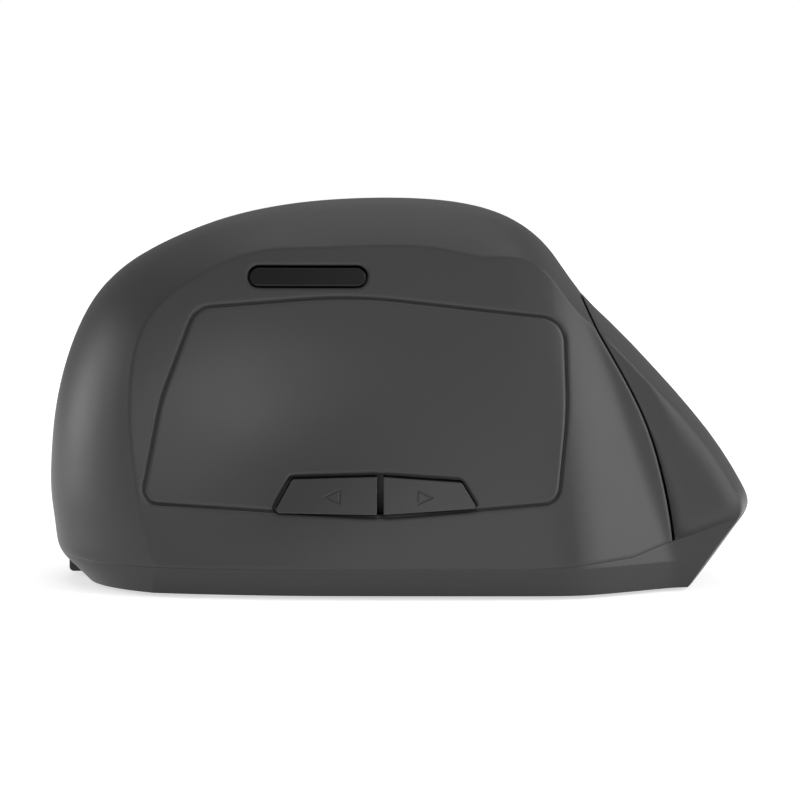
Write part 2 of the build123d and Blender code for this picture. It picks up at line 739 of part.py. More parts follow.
def battery_cell():
    y0 = cell_rear_y
    y1 = cell_rear_y + cell_length
    body = rod_y(0, y0, y1 - 1.0, cell_z, cell_diameter)
    body = fillet(body.edges().filter_by(GeomType.CIRCLE), 0.6)
    return body + rod_y(0, y1 - 1.5, y1, cell_z, 5.4)


spring_turns = 4


def battery_contacts():
    rear = box(-5, 5, bay_rear_y, bay_rear_y + 0.4, cell_z - 5, cell_z + 5)
    front = box(-5, 5, bay_front_y - 0.4, bay_front_y, cell_z - 5, cell_z + 5)
    return rear, front


def battery_spring():
    """The negative contact's spring, as stacked turns that narrow towards the cell."""
    turns = []
    for step in range(spring_turns):
        y = bay_rear_y + 0.79 + 0.70 * step
        turns.append(Pos(0, y, cell_z) * Rot(90, 0, 0) * Torus(4.4 - 0.6 * step, 0.38))
    return turns[0] + turns[1:]


def sensor_lens():
    """A clear block over the sensor's hole, with a foot that fills the hole."""
    block = box(-6, 6, sensor_y - 7, sensor_y + 7, floor_top, 4.6)
    return block + box(-3.6, 3.6, sensor_y - 4.6, sensor_y + 4.6, 1.4, floor_top)


def power_switch():
    """A slotted housing on the floor that the slider runs in."""
    housing = box(slider_x - 3, slider_x + 3, slider_y - 6.5, slider_y + 6.5, floor_top, 6.4)
    return housing - box(slider_x - 1.6, slider_x + 1.6, slider_y - 4.6, slider_y + 4.6, 0, 4.6)


os.makedirs("parts", exist_ok=True)
front_foot, rear_feet = feet()
rear_contact, front_contact = battery_contacts()
nodes = {
    "thumb_shell": thumb_shell(),
    "palm_shell": palm_shell(),
    "bottom_case": bottom_case(),
    "finger_ledge": finger_ledge(),
    "inner_frame": FRAME,
    "key_pin": key_pin,
    "left_key": key(ridge_parting_s, -key_gap / 2, ARMS[:2], LEFT_SWITCH_S + 0.4),
    "right_key": key(key_gap / 2, key_low_s, ARMS[2:], RIGHT_SWITCH_S),
    "key_board": key_board(),
    "left_switch": key_switch(LEFT_SWITCH_S),
    "right_switch": key_switch(RIGHT_SWITCH_S),
    "left_plunger": key_plunger(LEFT_SWITCH_S),
    "right_plunger": key_plunger(RIGHT_SWITCH_S),
    "wheel_hub": wheel_hub(),
    "wheel_tyre": wheel_tyre(),
    "wheel_cradle": wheel_cradle(),
    "encoder": encoder(),
    "wheel_switch": wheel_switch(),
    "wheel_plunger": wheel_plunger(),
    "forward_button": thumb_button(divider_y + divider_half, 40, *BUTTONS["forward"]),
    "back_button": thumb_button(-40, divider_y - divider_half, *BUTTONS["back"]),
    "dpi_button": dpi_button(),
    "side_board": side_board(),
    "forward_switch": thumb_switch(THUMB_SWITCHES["forward"]),
    "back_switch": thumb_switch(THUMB_SWITCHES["back"]),
    "forward_plunger": thumb_plunger(THUMB_SWITCHES["forward"]),
    "back_plunger": thumb_plunger(THUMB_SWITCHES["back"]),
    "dpi_switch": dpi_switch(),
    "dpi_plunger": rod_x(dpi_stem_x, side_board_x - 0.7, *pill_centre, plunger_diameter),
    "main_board": main_board(),
    "sensor_chip": box(-4, 4, sensor_y - 5, sensor_y + 5, 5.0, main_board_z),
    "sensor_lens": sensor_lens(),
    "battery_cell": battery_cell(),
    "battery_spring": battery_spring(),
    "rear_contact": rear_contact,
    "front_contact": front_contact,
    "battery_door": battery_door(),
    "power_switch": power_switch(),
    "power_slider": box(slider_x - 1.4, slider_x + 1.4, slider_y - 4.2, slider_y - 0.2, 0.9, 4.3),
    "receiver": box(bay_half + 1.1, 16.0, -30, -12, floor_top + 0.8, floor_top + 14.8),
    "case_screws": screws(),
    "board_screws": board_screws(),
    "front_foot": front_foot,
    "rear_feet": Compound(children=rear_feet),
}
for name, shape in nodes.items():
    export_step(shape, "parts/" + name + ".step")
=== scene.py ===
import bpy
import math
from mathutils import Matrix, Vector


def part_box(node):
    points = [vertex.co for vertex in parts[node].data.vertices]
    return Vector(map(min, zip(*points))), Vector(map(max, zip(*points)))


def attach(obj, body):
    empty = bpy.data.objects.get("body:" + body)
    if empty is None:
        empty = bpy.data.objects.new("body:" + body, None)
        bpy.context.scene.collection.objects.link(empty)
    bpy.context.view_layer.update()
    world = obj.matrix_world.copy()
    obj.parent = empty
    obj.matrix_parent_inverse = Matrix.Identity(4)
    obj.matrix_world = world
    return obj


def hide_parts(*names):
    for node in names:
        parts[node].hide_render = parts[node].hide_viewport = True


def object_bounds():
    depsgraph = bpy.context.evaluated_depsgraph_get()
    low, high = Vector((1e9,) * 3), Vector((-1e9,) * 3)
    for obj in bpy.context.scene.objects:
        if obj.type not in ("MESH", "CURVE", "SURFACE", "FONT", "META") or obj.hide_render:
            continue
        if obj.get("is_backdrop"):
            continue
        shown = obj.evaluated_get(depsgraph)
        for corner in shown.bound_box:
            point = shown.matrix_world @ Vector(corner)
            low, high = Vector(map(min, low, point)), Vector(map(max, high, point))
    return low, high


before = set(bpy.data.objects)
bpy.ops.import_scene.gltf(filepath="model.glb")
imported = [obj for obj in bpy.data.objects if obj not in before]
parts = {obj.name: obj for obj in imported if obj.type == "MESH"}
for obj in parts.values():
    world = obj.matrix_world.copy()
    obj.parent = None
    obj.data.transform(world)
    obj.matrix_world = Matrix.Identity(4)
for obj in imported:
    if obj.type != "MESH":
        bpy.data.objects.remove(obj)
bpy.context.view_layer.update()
mm = 0.001


# The viewpoint faces the thumb side, seven degrees above the desk, through a very long lens
# three metres away, so the mouse keeps almost parallel edges as in a catalogue picture.
aim = Vector((0.0, -0.09 * mm, 30.6 * mm))
elevation = math.radians(7.0)
lens_distance = 3.0
picture_width = 137.5 * mm
thumb_face_offset = 15 * mm

camera_data = bpy.data.cameras.new("camera")
camera_data.lens = camera_data.sensor_width * lens_distance / picture_width
camera_data.clip_start = 0.1
camera_data.clip_end = 20.0
camera = bpy.data.objects.new("camera", camera_data)
bpy.context.scene.collection.objects.link(camera)
toward_camera = Vector((-math.cos(elevation), 0.0, math.sin(elevation)))
camera.location = aim + toward_camera * (lens_distance + thumb_face_offset)
camera.rotation_mode = "QUATERNION"
camera.rotation_quaternion = (-toward_camera).to_track_quat("-Z", "Y")
bpy.context.scene.camera = camera


# The floor is a white sheet with a soft shadow under the mouse. Camera, mirror and glass rays
# see it nearly burnt out, as in the picture, and everything else gets a dull grey bounce from it.
floor_radius = 0.55
floor_corners = 64


def surface(name):
    """A new material that holds only its output so far."""
    material = bpy.data.materials.new(name)
    material.use_nodes = True
    tree = material.node_tree
    tree.nodes.clear()
    output = tree.nodes.new("ShaderNodeOutputMaterial")
    return material, tree, output


def add(tree, kind, values=(), **links):
    """A node with its options and plain values set and its inputs linked."""
    node = tree.nodes.new(kind)
    for key, value in dict(values).items():
        if key in node.inputs:
            node.inputs[key].default_value = value
        else:
            setattr(node, key, value)
    for key, source in links.items():
        tree.links.new(source, node.inputs[key.replace("_", " ")])
    return node


def maths(tree, operation, *terms):
    """The result of one sum, whose terms are plain numbers or other nodes' results."""
    node = add(tree, "ShaderNodeMath", {"operation": operation})
    for term, socket in zip(terms, node.inputs):
        if isinstance(term, (int, float)):
            socket.default_value = term
        else:
            tree.links.new(term, socket)
    return node.outputs[0]


def either(tree, share, plain, other):
    """The plain shader where the share is nought, and the other one where it is one."""
    choice = add(tree, "ShaderNodeMixShader", Fac=share)
    tree.links.new(plain.outputs[0], choice.inputs[1])
    tree.links.new(other.outputs[0], choice.inputs[2])
    return choice.outputs[0]


floor_mesh = bpy.data.meshes.new("floor")
turns = [math.tau * corner / floor_corners for corner in range(floor_corners)]
rim = [(floor_radius * math.cos(turn), floor_radius * math.sin(turn), 0.0) for turn in turns]
floor_mesh.from_pydata(rim, [], [tuple(range(floor_corners))])
floor = bpy.data.objects.new("floor", floor_mesh)
bpy.context.scene.collection.objects.link(floor)
floor_paint, tree, output = surface("white_sheet")
rays = add(tree, "ShaderNodeLightPath").outputs
seen_or_mirrored = maths(tree, "MAXIMUM", rays["Is Camera Ray"], rays["Is Glossy Ray"])
seen_directly = maths(tree, "MAXIMUM", seen_or_mirrored, rays["Is Transmission Ray"])
sheet = add(tree, "ShaderNodeBsdfDiffuse", {"Color": (0.86, 0.86, 0.86, 1)})
lift = add(tree, "ShaderNodeEmission", {"Color": (1, 1, 1, 1), "Strength": 0.60})
lifted = add(tree, "ShaderNodeAddShader")
tree.links.new(sheet.outputs[0], lifted.inputs[0])
tree.links.new(lift.outputs[0], lifted.inputs[1])
bounce = add(tree, "ShaderNodeBsdfDiffuse", {"Color": (0.62, 0.62, 0.62, 1)})
tree.links.new(either(tree, seen_directly, bounce, lifted), output.inputs["Surface"])
floor_mesh.materials.append(floor_paint)
floor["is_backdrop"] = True


# The light is an even room with soft boxes beyond the front end and the tail, which leave both
# ends paler than the thumb face, and others overhead, behind the camera and beyond the object.
light_aim = Vector((0, 0, 0.03))
room = bpy.data.worlds.new("room")
bpy.context.scene.world = room
room.use_nodes = True
tree = room.node_tree
tree.nodes.clear()
output = add(tree, "ShaderNodeOutputWorld")
dim = add(tree, "ShaderNodeBackground", {"Color": (1, 1, 1, 1), "Strength": 0.36})
white = add(tree, "ShaderNodeBackground", {"Color": (1, 1, 1, 1), "Strength": 1.0})
rays = add(tree, "ShaderNodeLightPath").outputs
tree.links.new(either(tree, rays["Is Camera Ray"], dim, white), output.inputs["Surface"])


def soft_box(name, place, size, watts):
    """A rectangular lamp at a place in metres that shines at the mouse."""
    data = bpy.data.lights.new(name, "AREA")
    data.shape = "RECTANGLE"
    data.size, data.size_y = size
    data.energy = watts
    lamp = bpy.data.objects.new(name, data)
    bpy.context.scene.collection.objects.link(lamp)
    lamp.location = place
    lamp.rotation_mode = "QUATERNION"
    lamp.rotation_quaternion = (light_aim - Vector(place)).to_track_quat("-Z", "Y")


soft_box("front_box", (0.15, 1.20, 0.25), (0.5, 0.5), 2.3)
soft_box("front_strip", (0.30, 1.10, 0.08), (0.4, 0.12), 2.0)
soft_box("tail_box", (-0.30, -0.95, 0.40), (0.7, 0.9), 7.4)
soft_box("top_box", (0.10, 0.0, 1.10), (0.9, 0.9), 2.5)
soft_box("view_box", (-2.50, 0.15, 0.25), (0.5, 0.5), 6.1)
soft_box("tail_view_box", (-1.50, -0.35, 0.80), (0.4, 0.4), 1.8)
soft_box("far_box", (0.80, 0.0, 0.80), (0.6, 0.6), 0.5)


# The shells are injection moulded in black plastic with a fine spark-eroded grain and a soft
# matt coat. Handling polishes their rounded edges a little, and they screw together from below.
cloud_scale = 38.0
sheen_change = 0.035


def moulded(name, colour, roughness, edge=0.35 * mm, grain=0.16 * mm, depth=0.004 * mm, shine=0.08,
            highlight_patch=None, tail=None, gloss=0.5):
    """A moulded plastic: fine grain, slow changes of sheen, and edges rounded and polished.

    The shine is how much smoother the worn edges and the highlight patch are, and the gloss how
    strongly it all reflects. A highlight patch is the (place, radius, amount) of a round patch
    painted paler, a painted highlight, and made smoother. A tail is the (Y, Y, edge) between
    which edges grow from the plain radius to a rounder one.
    """
    material, tree, output = surface(name)
    place = add(tree, "ShaderNodeTexCoord").outputs["Object"]
    rounded = add(tree, "ShaderNodeBevel", {"samples": 8, "Radius": edge})
    if tail:
        start, finish, rounder_edge = tail
        along = add(tree, "ShaderNodeSeparateXYZ", Vector=place)
        reach = {"From Min": start, "From Max": finish, "To Min": edge, "To Max": rounder_edge}
        rounder = add(tree, "ShaderNodeMapRange", reach, Value=along.outputs["Y"])
        tree.links.new(rounder.outputs["Result"], rounded.inputs["Radius"])
    pits = add(tree, "ShaderNodeTexNoise", {"Scale": 1.0 / grain, "Detail": 2.0}, Vector=place)
    bump = add(tree, "ShaderNodeBump", {"Strength": 1.0, "Distance": depth}, Height=pits.outputs["Fac"],
               Normal=rounded.outputs["Normal"])
    clouds = add(tree, "ShaderNodeTexNoise", {"Scale": cloud_scale, "Detail": 3.0}, Vector=place)
    limits = {"To Min": roughness - sheen_change, "To Max": roughness + sheen_change}
    rough = add(tree, "ShaderNodeMapRange", limits, Value=clouds.outputs["Fac"])
    facing = add(tree, "ShaderNodeNewGeometry")
    match = add(tree, "ShaderNodeVectorMath", {"operation": "DOT_PRODUCT"})
    tree.links.new(rounded.outputs["Normal"], match.inputs[0])
    tree.links.new(facing.outputs["Normal"], match.inputs[1])
    wear = add(tree, "ShaderNodeMapRange", {"From Min": 0.995, "From Max": 0.90},
               Value=match.outputs["Value"])
    wear_and_painted_highlight = wear.outputs["Result"]
    # A painted highlight: a round patch of paler colour and lower roughness that stands in for a soft
    # reflection.
    if highlight_patch:
        spot, radius, amount = highlight_patch
        away = add(tree, "ShaderNodeVectorMath", {"operation": "DISTANCE"})
        away.inputs[1].default_value = spot
        tree.links.new(place, away.inputs[0])
        fade = {"interpolation_type": "SMOOTHSTEP", "From Min": radius, "From Max": 0.0, "To Max": amount}
        painted_highlight = add(tree, "ShaderNodeMapRange", fade, Value=away.outputs["Value"])
        wear_and_painted_highlight = maths(tree, "MAXIMUM", painted_highlight.outputs["Result"], wear_and_painted_highlight)
    # Worn edges are paler and smoother, and the painted highlight patch is too.
    polish = maths(tree, "MULTIPLY_ADD", wear_and_painted_highlight, -shine, rough.outputs["Result"])
    paler = (*(1.3 * c + 0.004 for c in colour), 1)
    tint = add(tree, "ShaderNodeMix", {"data_type": "RGBA", "A": (*colour, 1), "B": paler}, Factor=wear_and_painted_highlight)
    shader = add(tree, "ShaderNodeBsdfPrincipled", {"Specular IOR Level": gloss},
                 Base_Color=tint.outputs["Result"], Roughness=polish, Normal=bump.outputs["Normal"])
    tree.links.new(shader.outputs[0], output.inputs["Surface"])
    return material


def finish_nodes(material, *names):
    """Gives a material to solids that keep their own shape."""
    for name in names:
        for holder in parts[name].material_slots:
            holder.material = material


shell_black = (0.030, 0.030, 0.032)
shell_edge = 0.9 * mm
# The thumb shell carries a painted highlight: a paler, smoother round patch on the thumb panel in place of a
# soft reflection there.
thumb_painted_highlight = ((-32 * mm, 29 * mm, 33 * mm), 24 * mm, 0.9)
rounder_tail = (-43 * mm, -48 * mm, 5 * mm)
palm_black = moulded("soft_black_palm", shell_black, 0.46, edge=shell_edge, shine=0.0, tail=rounder_tail)
thumb_black = moulded("soft_black_thumb", shell_black, 0.46, edge=shell_edge, highlight_patch=thumb_painted_highlight)
finish_nodes(palm_black, "palm_shell")
finish_nodes(thumb_black, "thumb_shell")
finish_nodes(moulded("base_black", (0.026, 0.026, 0.0275), 0.48), "bottom_case")


# The two finger keys are thin shells of the same soft black, hinged on one pin at their rear
# ends. Their edges are tighter than the body's, where they meet round the wheel.
finish_nodes(moulded("soft_black_key", shell_black, 0.44), "left_key", "right_key")


# The thumb buttons and the pill for pointer speed are separate caps in a slightly glossier
# black, each held behind the wall by a lip. The arrows are pressed into the buttons' faces.
button_black = moulded("button_black", (0.026, 0.026, 0.028), 0.40, edge=0.2 * mm)
finish_nodes(button_black, "forward_button", "back_button")
pill_black = moulded("pill_black", (0.005, 0.005, 0.0055), 0.28, edge=0.3 * mm, depth=0.001 * mm,
                     gloss=0.25)
finish_nodes(pill_black, "dpi_button")


# The shelf round the foot of the finger side keeps the little finger off the desk. It is
# polished black and glued to the base.
finish_nodes(moulded("shelf_gloss", (0.008, 0.008, 0.009), 0.09, depth=0.0005 * mm), "finger_ledge")


# The battery door is a flat plate of harder, duller black that slides out under the tail, with
# pressed grooves for a fingertip.
door_black = moulded("door_black", (0.024, 0.024, 0.025), 0.55, edge=0.15 * mm, depth=0.008 * mm)
finish_nodes(door_black, "battery_door")


# The scroll wheel's tyre is black rubber moulded over a white hub, with a rounded rib across
# the tread for each click, so that a fingertip can grip it.
def node_tree(name, sizes):
    """An empty Geometry Nodes tree that takes the holder's points and named sizes."""
    tree = bpy.data.node_groups.new(name, "GeometryNodeTree")
    tree.interface.new_socket("Geometry", in_out="OUTPUT", socket_type="NodeSocketGeometry")
    tree.interface.new_socket("Points", in_out="INPUT", socket_type="NodeSocketGeometry")
    for label in sizes:
        kind = "NodeSocketInt" if isinstance(sizes[label], int) else "NodeSocketFloat"
        tree.interface.new_socket(label, in_out="INPUT", socket_type=kind)
    return tree, add(tree, "NodeGroupInput"), add(tree, "NodeGroupOutput")


def finish_tree(tree, geometry, end, material):
    """The tree's end: real geometry, its material and the output."""
    real = add(tree, "GeometryNodeRealizeInstances", Geometry=geometry)
    smooth = add(tree, "GeometryNodeSetShadeSmooth", Geometry=real.outputs[0])
    painted = add(tree, "GeometryNodeSetMaterial", {"Material": material}, Geometry=smooth.outputs[0])
    tree.links.new(painted.outputs[0], end.inputs["Geometry"])


def grown(name, tree, sizes, place, points=((0, 0, 0),)):
    """The plain mesh that a tree makes at some points, moved to its place on the mouse."""
    seed = bpy.data.meshes.new(name + "_points")
    seed.from_pydata(points, [], [])
    holder = bpy.data.objects.new(name + "_points", seed)
    bpy.context.scene.collection.objects.link(holder)
    modifier = holder.modifiers.new("build", "NODES")
    modifier.node_group = tree
    for socket in tree.interface.items_tree:
        if socket.in_out == "INPUT" and socket.name in sizes:
            modifier[socket.identifier] = sizes[socket.name]
    shown = holder.evaluated_get(bpy.context.evaluated_depsgraph_get())
    mesh = bpy.data.meshes.new_from_object(shown)
    bpy.data.objects.remove(holder)
    mesh.transform(place)
    piece = bpy.data.objects.new(name, mesh)
    bpy.context.scene.collection.objects.link(piece)
    return piece


def rubber(name):
    """Matt black rubber with a fine pitted skin and dusty patches."""
    material, tree, output = surface(name)
    place = add(tree, "ShaderNodeTexCoord")
    pits = add(tree, "ShaderNodeTexNoise", {"Scale": 5200.0, "Detail": 3.0}, Vector=place.outputs["Object"])
    dust = add(tree, "ShaderNodeTexNoise", {"Scale": 240.0, "Detail": 4.0}, Vector=place.outputs["Object"])
    shade = add(tree, "ShaderNodeValToRGB", Fac=dust.outputs["Fac"])
    shade.color_ramp.elements[0].color = (0.012, 0.012, 0.013, 1)
    shade.color_ramp.elements[1].color = (0.030, 0.030, 0.031, 1)
    bump = add(tree, "ShaderNodeBump", {"Distance": 0.012 * mm}, Height=pits.outputs["Fac"])
    shader = add(tree, "ShaderNodeBsdfPrincipled", {"Roughness": 0.68}, Base_Color=shade.outputs["Color"],
                 Normal=bump.outputs["Normal"])
    tree.links.new(shader.outputs[0], output.inputs["Surface"])
    return material


wheel_sizes = {"Tread Radius": 10.72 * mm, "Bore Radius": 8.0 * mm, "Width": 7.0 * mm, "Edge": 1.3 * mm,
               "Ribs": 40, "Rib Radius": 0.42 * mm, "Rib Length": 5.0 * mm}
tyre_rubber = rubber("tyre_rubber")
tree, given, end = node_tree("ribbed_tyre", wheel_sizes)
tread = given.outputs["Tread Radius"]
bore = given.outputs["Bore Radius"]
middle = maths(tree, "MULTIPLY", maths(tree, "ADD", tread, bore), 0.5)
thickness = maths(tree, "SUBTRACT", tread, bore)
path = add(tree, "GeometryNodeCurvePrimitiveCircle", {"Resolution": 120}, Radius=middle)
slab = add(tree, "GeometryNodeCurvePrimitiveQuadrilateral", Width=thickness, Height=given.outputs["Width"])
soft = add(tree, "GeometryNodeFilletCurve", {"mode": "POLY", "Count": 5}, Curve=slab.outputs[0],
           Radius=given.outputs["Edge"])
ring = add(tree, "GeometryNodeCurveToMesh", Curve=path.outputs[0], Profile_Curve=soft.outputs[0])
spots = add(tree, "GeometryNodeMeshCircle", Vertices=given.outputs["Ribs"], Radius=tread)
bar = add(tree, "GeometryNodeMeshCylinder", {"Vertices": 14}, Radius=given.outputs["Rib Radius"],
          Depth=given.outputs["Rib Length"])
bars = add(tree, "GeometryNodeInstanceOnPoints", Points=spots.outputs[0], Instance=bar.outputs["Mesh"])
whole = add(tree, "GeometryNodeJoinGeometry")
tree.links.new(ring.outputs[0], whole.inputs[0])
tree.links.new(bars.outputs[0], whole.inputs[0])
finish_tree(tree, whole.outputs[0], end, tyre_rubber)

axle_slope = math.radians(54.1)
axle_turn = Matrix.Rotation(math.pi / 2 + axle_slope, 4, "Y")
low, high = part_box("wheel_tyre")
tyre = grown("ribbed_tyre", tree, wheel_sizes, Matrix.Translation((low + high) / 2) @ axle_turn)
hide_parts("wheel_tyre")
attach(tyre, "wheel")


# The hub, the cradle it turns in and the power slider are natural white bearing plastic, which
# is waxy and slightly see-through, straight from the mould.
def waxy(name, colour):
    """Natural plastic with faint flow marks that lets a little light in."""
    material, tree, output = surface(name)
    place = add(tree, "ShaderNodeTexCoord")
    flow = add(tree, "ShaderNodeTexNoise", {"Scale": 90.0, "Detail": 2.0}, Vector=place.outputs["Object"])
    shade = add(tree, "ShaderNodeValToRGB", Fac=flow.outputs["Fac"])
    shade.color_ramp.elements[0].color = (*(0.9 * c for c in colour), 1)
    shade.color_ramp.elements[1].color = (*colour, 1)
    rounded = add(tree, "ShaderNodeBevel", {"samples": 4, "Radius": 0.15 * mm})
    shader = add(tree, "ShaderNodeBsdfPrincipled",
                 {"Roughness": 0.38, "Subsurface Weight": 0.15, "Subsurface Scale": 0.6 * mm},
                 Base_Color=shade.outputs["Color"], Normal=rounded.outputs["Normal"])
    tree.links.new(shader.outputs[0], output.inputs["Surface"])
    return material


finish_nodes(waxy("natural_white", (0.74, 0.72, 0.66)), "wheel_hub", "wheel_cradle", "power_slider")


# Four long steel screws hold the shells to the base from below, and seven short ones hold the
# boards. They are zinc plated, with a cross cut in a pan head and a rolled thread.
def metal(name, colour, roughness, streak):
    """Bright metal with fine streaks and small changes of polish."""
    material, tree, output = surface(name)
    place = add(tree, "ShaderNodeTexCoord")
    stretch = add(tree, "ShaderNodeMapping", {"Scale": streak}, Vector=place.outputs["Object"])
    lines = add(tree, "ShaderNodeTexNoise", {"Scale": 1500.0, "Detail": 3.0}, Vector=stretch.outputs[0])
    rough = add(tree, "ShaderNodeMapRange", {"To Min": roughness - 0.08, "To Max": roughness + 0.12},
                Value=lines.outputs["Fac"])
    bump = add(tree, "ShaderNodeBump", {"Distance": 0.003 * mm}, Height=lines.outputs["Fac"])
    shader = add(tree, "ShaderNodeBsdfPrincipled", {"Base Color": (*colour, 1), "Metallic": 1.0},
                 Roughness=rough.outputs["Result"], Normal=bump.outputs["Normal"])
    tree.links.new(shader.outputs[0], output.inputs["Surface"])
    return material


def raised(tree, geometry, height):
    """The geometry moved up by a height."""
    offset = add(tree, "ShaderNodeCombineXYZ", Z=height)
    moved = add(tree, "GeometryNodeTransform", Geometry=geometry, Translation=offset.outputs[0])
    return moved.outputs[0]


slot_length = 2.3 * mm
slot_width = 0.55 * mm
slot_depth = 0.75 * mm
thread_start = 1.8 * mm
plain_length = 2.2 * mm
thread_height = 0.15 * mm
case_screw_sizes = {"Head Diameter": 4.4 * mm, "Head Height": 1.3 * mm, "Shank Diameter": 1.7 * mm,
                    "Length": 11.6 * mm, "Pitch": 0.8 * mm}
tree, given, end = node_tree("cross_screw", case_screw_sizes)
head_height = given.outputs["Head Height"]
length = given.outputs["Length"]
head_radius = maths(tree, "MULTIPLY", given.outputs["Head Diameter"], 0.5)
head = add(tree, "GeometryNodeMeshCylinder", {"Vertices": 40}, Radius=head_radius, Depth=head_height)
head = raised(tree, head.outputs["Mesh"], maths(tree, "MULTIPLY", head_height, 0.5))
cut = add(tree, "GeometryNodeMeshBoolean", {"operation": "DIFFERENCE", "solver": "EXACT"})
tree.links.new(head, cut.inputs[0])
for across, along in ((slot_length, slot_width), (slot_width, slot_length)):
    slot_bar = add(tree, "GeometryNodeMeshCube", {"Size": (across, along, 2 * slot_depth)})
    tree.links.new(slot_bar.outputs["Mesh"], cut.inputs[1])
shank_radius = maths(tree, "MULTIPLY", given.outputs["Shank Diameter"], 0.5)
shank = add(tree, "GeometryNodeMeshCylinder", {"Vertices": 20}, Radius=shank_radius, Depth=length)
shank = raised(tree, shank.outputs["Mesh"], maths(tree, "MULTIPLY", length, 0.5))
threaded = maths(tree, "SUBTRACT", length, plain_length)
rounds = maths(tree, "DIVIDE", threaded, given.outputs["Pitch"])
helix = add(tree, "GeometryNodeCurveSpiral", {"Resolution": 18}, Rotations=rounds, Start_Radius=shank_radius,
            End_Radius=shank_radius, Height=threaded)
crest = add(tree, "GeometryNodeCurvePrimitiveCircle", {"Resolution": 4, "Radius": thread_height})
thread = add(tree, "GeometryNodeCurveToMesh", {"Fill Caps": True}, Curve=helix.outputs[0],
             Profile_Curve=crest.outputs[0])
thread = add(tree, "GeometryNodeTransform", {"Translation": (0, 0, thread_start)}, Geometry=thread.outputs[0])
whole = add(tree, "GeometryNodeJoinGeometry")
for geometry in (cut.outputs[0], shank, thread.outputs[0]):
    tree.links.new(geometry, whole.inputs[0])
placed = add(tree, "GeometryNodeInstanceOnPoints", Points=given.outputs["Points"], Instance=whole.outputs[0])
finish_tree(tree, placed.outputs[0], end, metal("zinc_plate", (0.62, 0.63, 0.65), 0.30, (1, 1, 0.2)))

# A screw grows upwards from its head. Places are in millimetres, before the turn that points a
# group's screws the way they are driven.
board_screw_sizes = {**case_screw_sizes, "Head Diameter": 4.0 * mm, "Head Height": 1.2 * mm,
                     "Length": 6.3 * mm}
case_places = ((-26.5, 31, 1.9), (-25.5, -22, 1.9), (13, 47.5, 1.9), (13, -36, 1.9))
main_board_places = ((-19, -20, -9.8), (-19, -38, -9.8), (10, -20, -9.8))
side_board_places = ((29, -11, 15.2), (31, 23, 15.2), (52, -8, 15.2), (40, 1, 15.2))
downwards = Matrix.Rotation(math.pi, 4, "X")
sideways = Matrix.Rotation(-math.pi / 2, 4, "Y")
for name, node, sizes, turn, places in (
        ("case_screws_cut", "case_screws", case_screw_sizes, Matrix.Identity(4), case_places),
        ("main_board_screws", "board_screws", board_screw_sizes, downwards, main_board_places),
        ("side_board_screws", "board_screws", board_screw_sizes, sideways, side_board_places)):
    points = [tuple(mm * value for value in place) for place in places]
    screws = grown(name, tree, sizes, turn, points)
    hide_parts(node)
    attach(screws, "case")


# The battery's negative contact is a conical spring of nickelled wire on a plate at the rear
# of the bay, and its positive contact a plain plate. The hinge pin is ground steel.
nickel = metal("nickel_wire", (0.66, 0.64, 0.60), 0.24, (1, 1, 1))
spring_sizes = {"Turns": 4.5, "Wide Radius": 4.4 * mm, "Narrow Radius": 2.4 * mm, "Height": 2.1 * mm,
                "Wire Radius": 0.36 * mm}
wire_gap = 0.01 * mm
tree, given, end = node_tree("cone_spring", spring_sizes)
coil = add(tree, "GeometryNodeCurveSpiral", {"Resolution": 40}, Rotations=given.outputs["Turns"],
           Start_Radius=given.outputs["Wide Radius"], End_Radius=given.outputs["Narrow Radius"],
           Height=given.outputs["Height"])
wire = add(tree, "GeometryNodeCurvePrimitiveCircle", {"Resolution": 12}, Radius=given.outputs["Wire Radius"])
swept = add(tree, "GeometryNodeCurveToMesh", {"Fill Caps": True}, Curve=coil.outputs[0],
            Profile_Curve=wire.outputs[0])
finish_tree(tree, swept.outputs[0], end, nickel)
low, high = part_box("battery_spring")
rear = low.y + spring_sizes["Wire Radius"] + wire_gap
spring_place = Vector(((low.x + high.x) / 2, rear, (low.z + high.z) / 2))
forwards = Matrix.Rotation(-math.pi / 2, 4, "X")
spring = grown("cone_spring", tree, spring_sizes, Matrix.Translation(spring_place) @ forwards)
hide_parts("battery_spring")
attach(spring, "case")
finish_nodes(nickel, "rear_contact", "front_contact")
finish_nodes(metal("ground_steel", (0.56, 0.57, 0.58), 0.22, (1, 0.1, 1)), "key_pin", "power_switch")


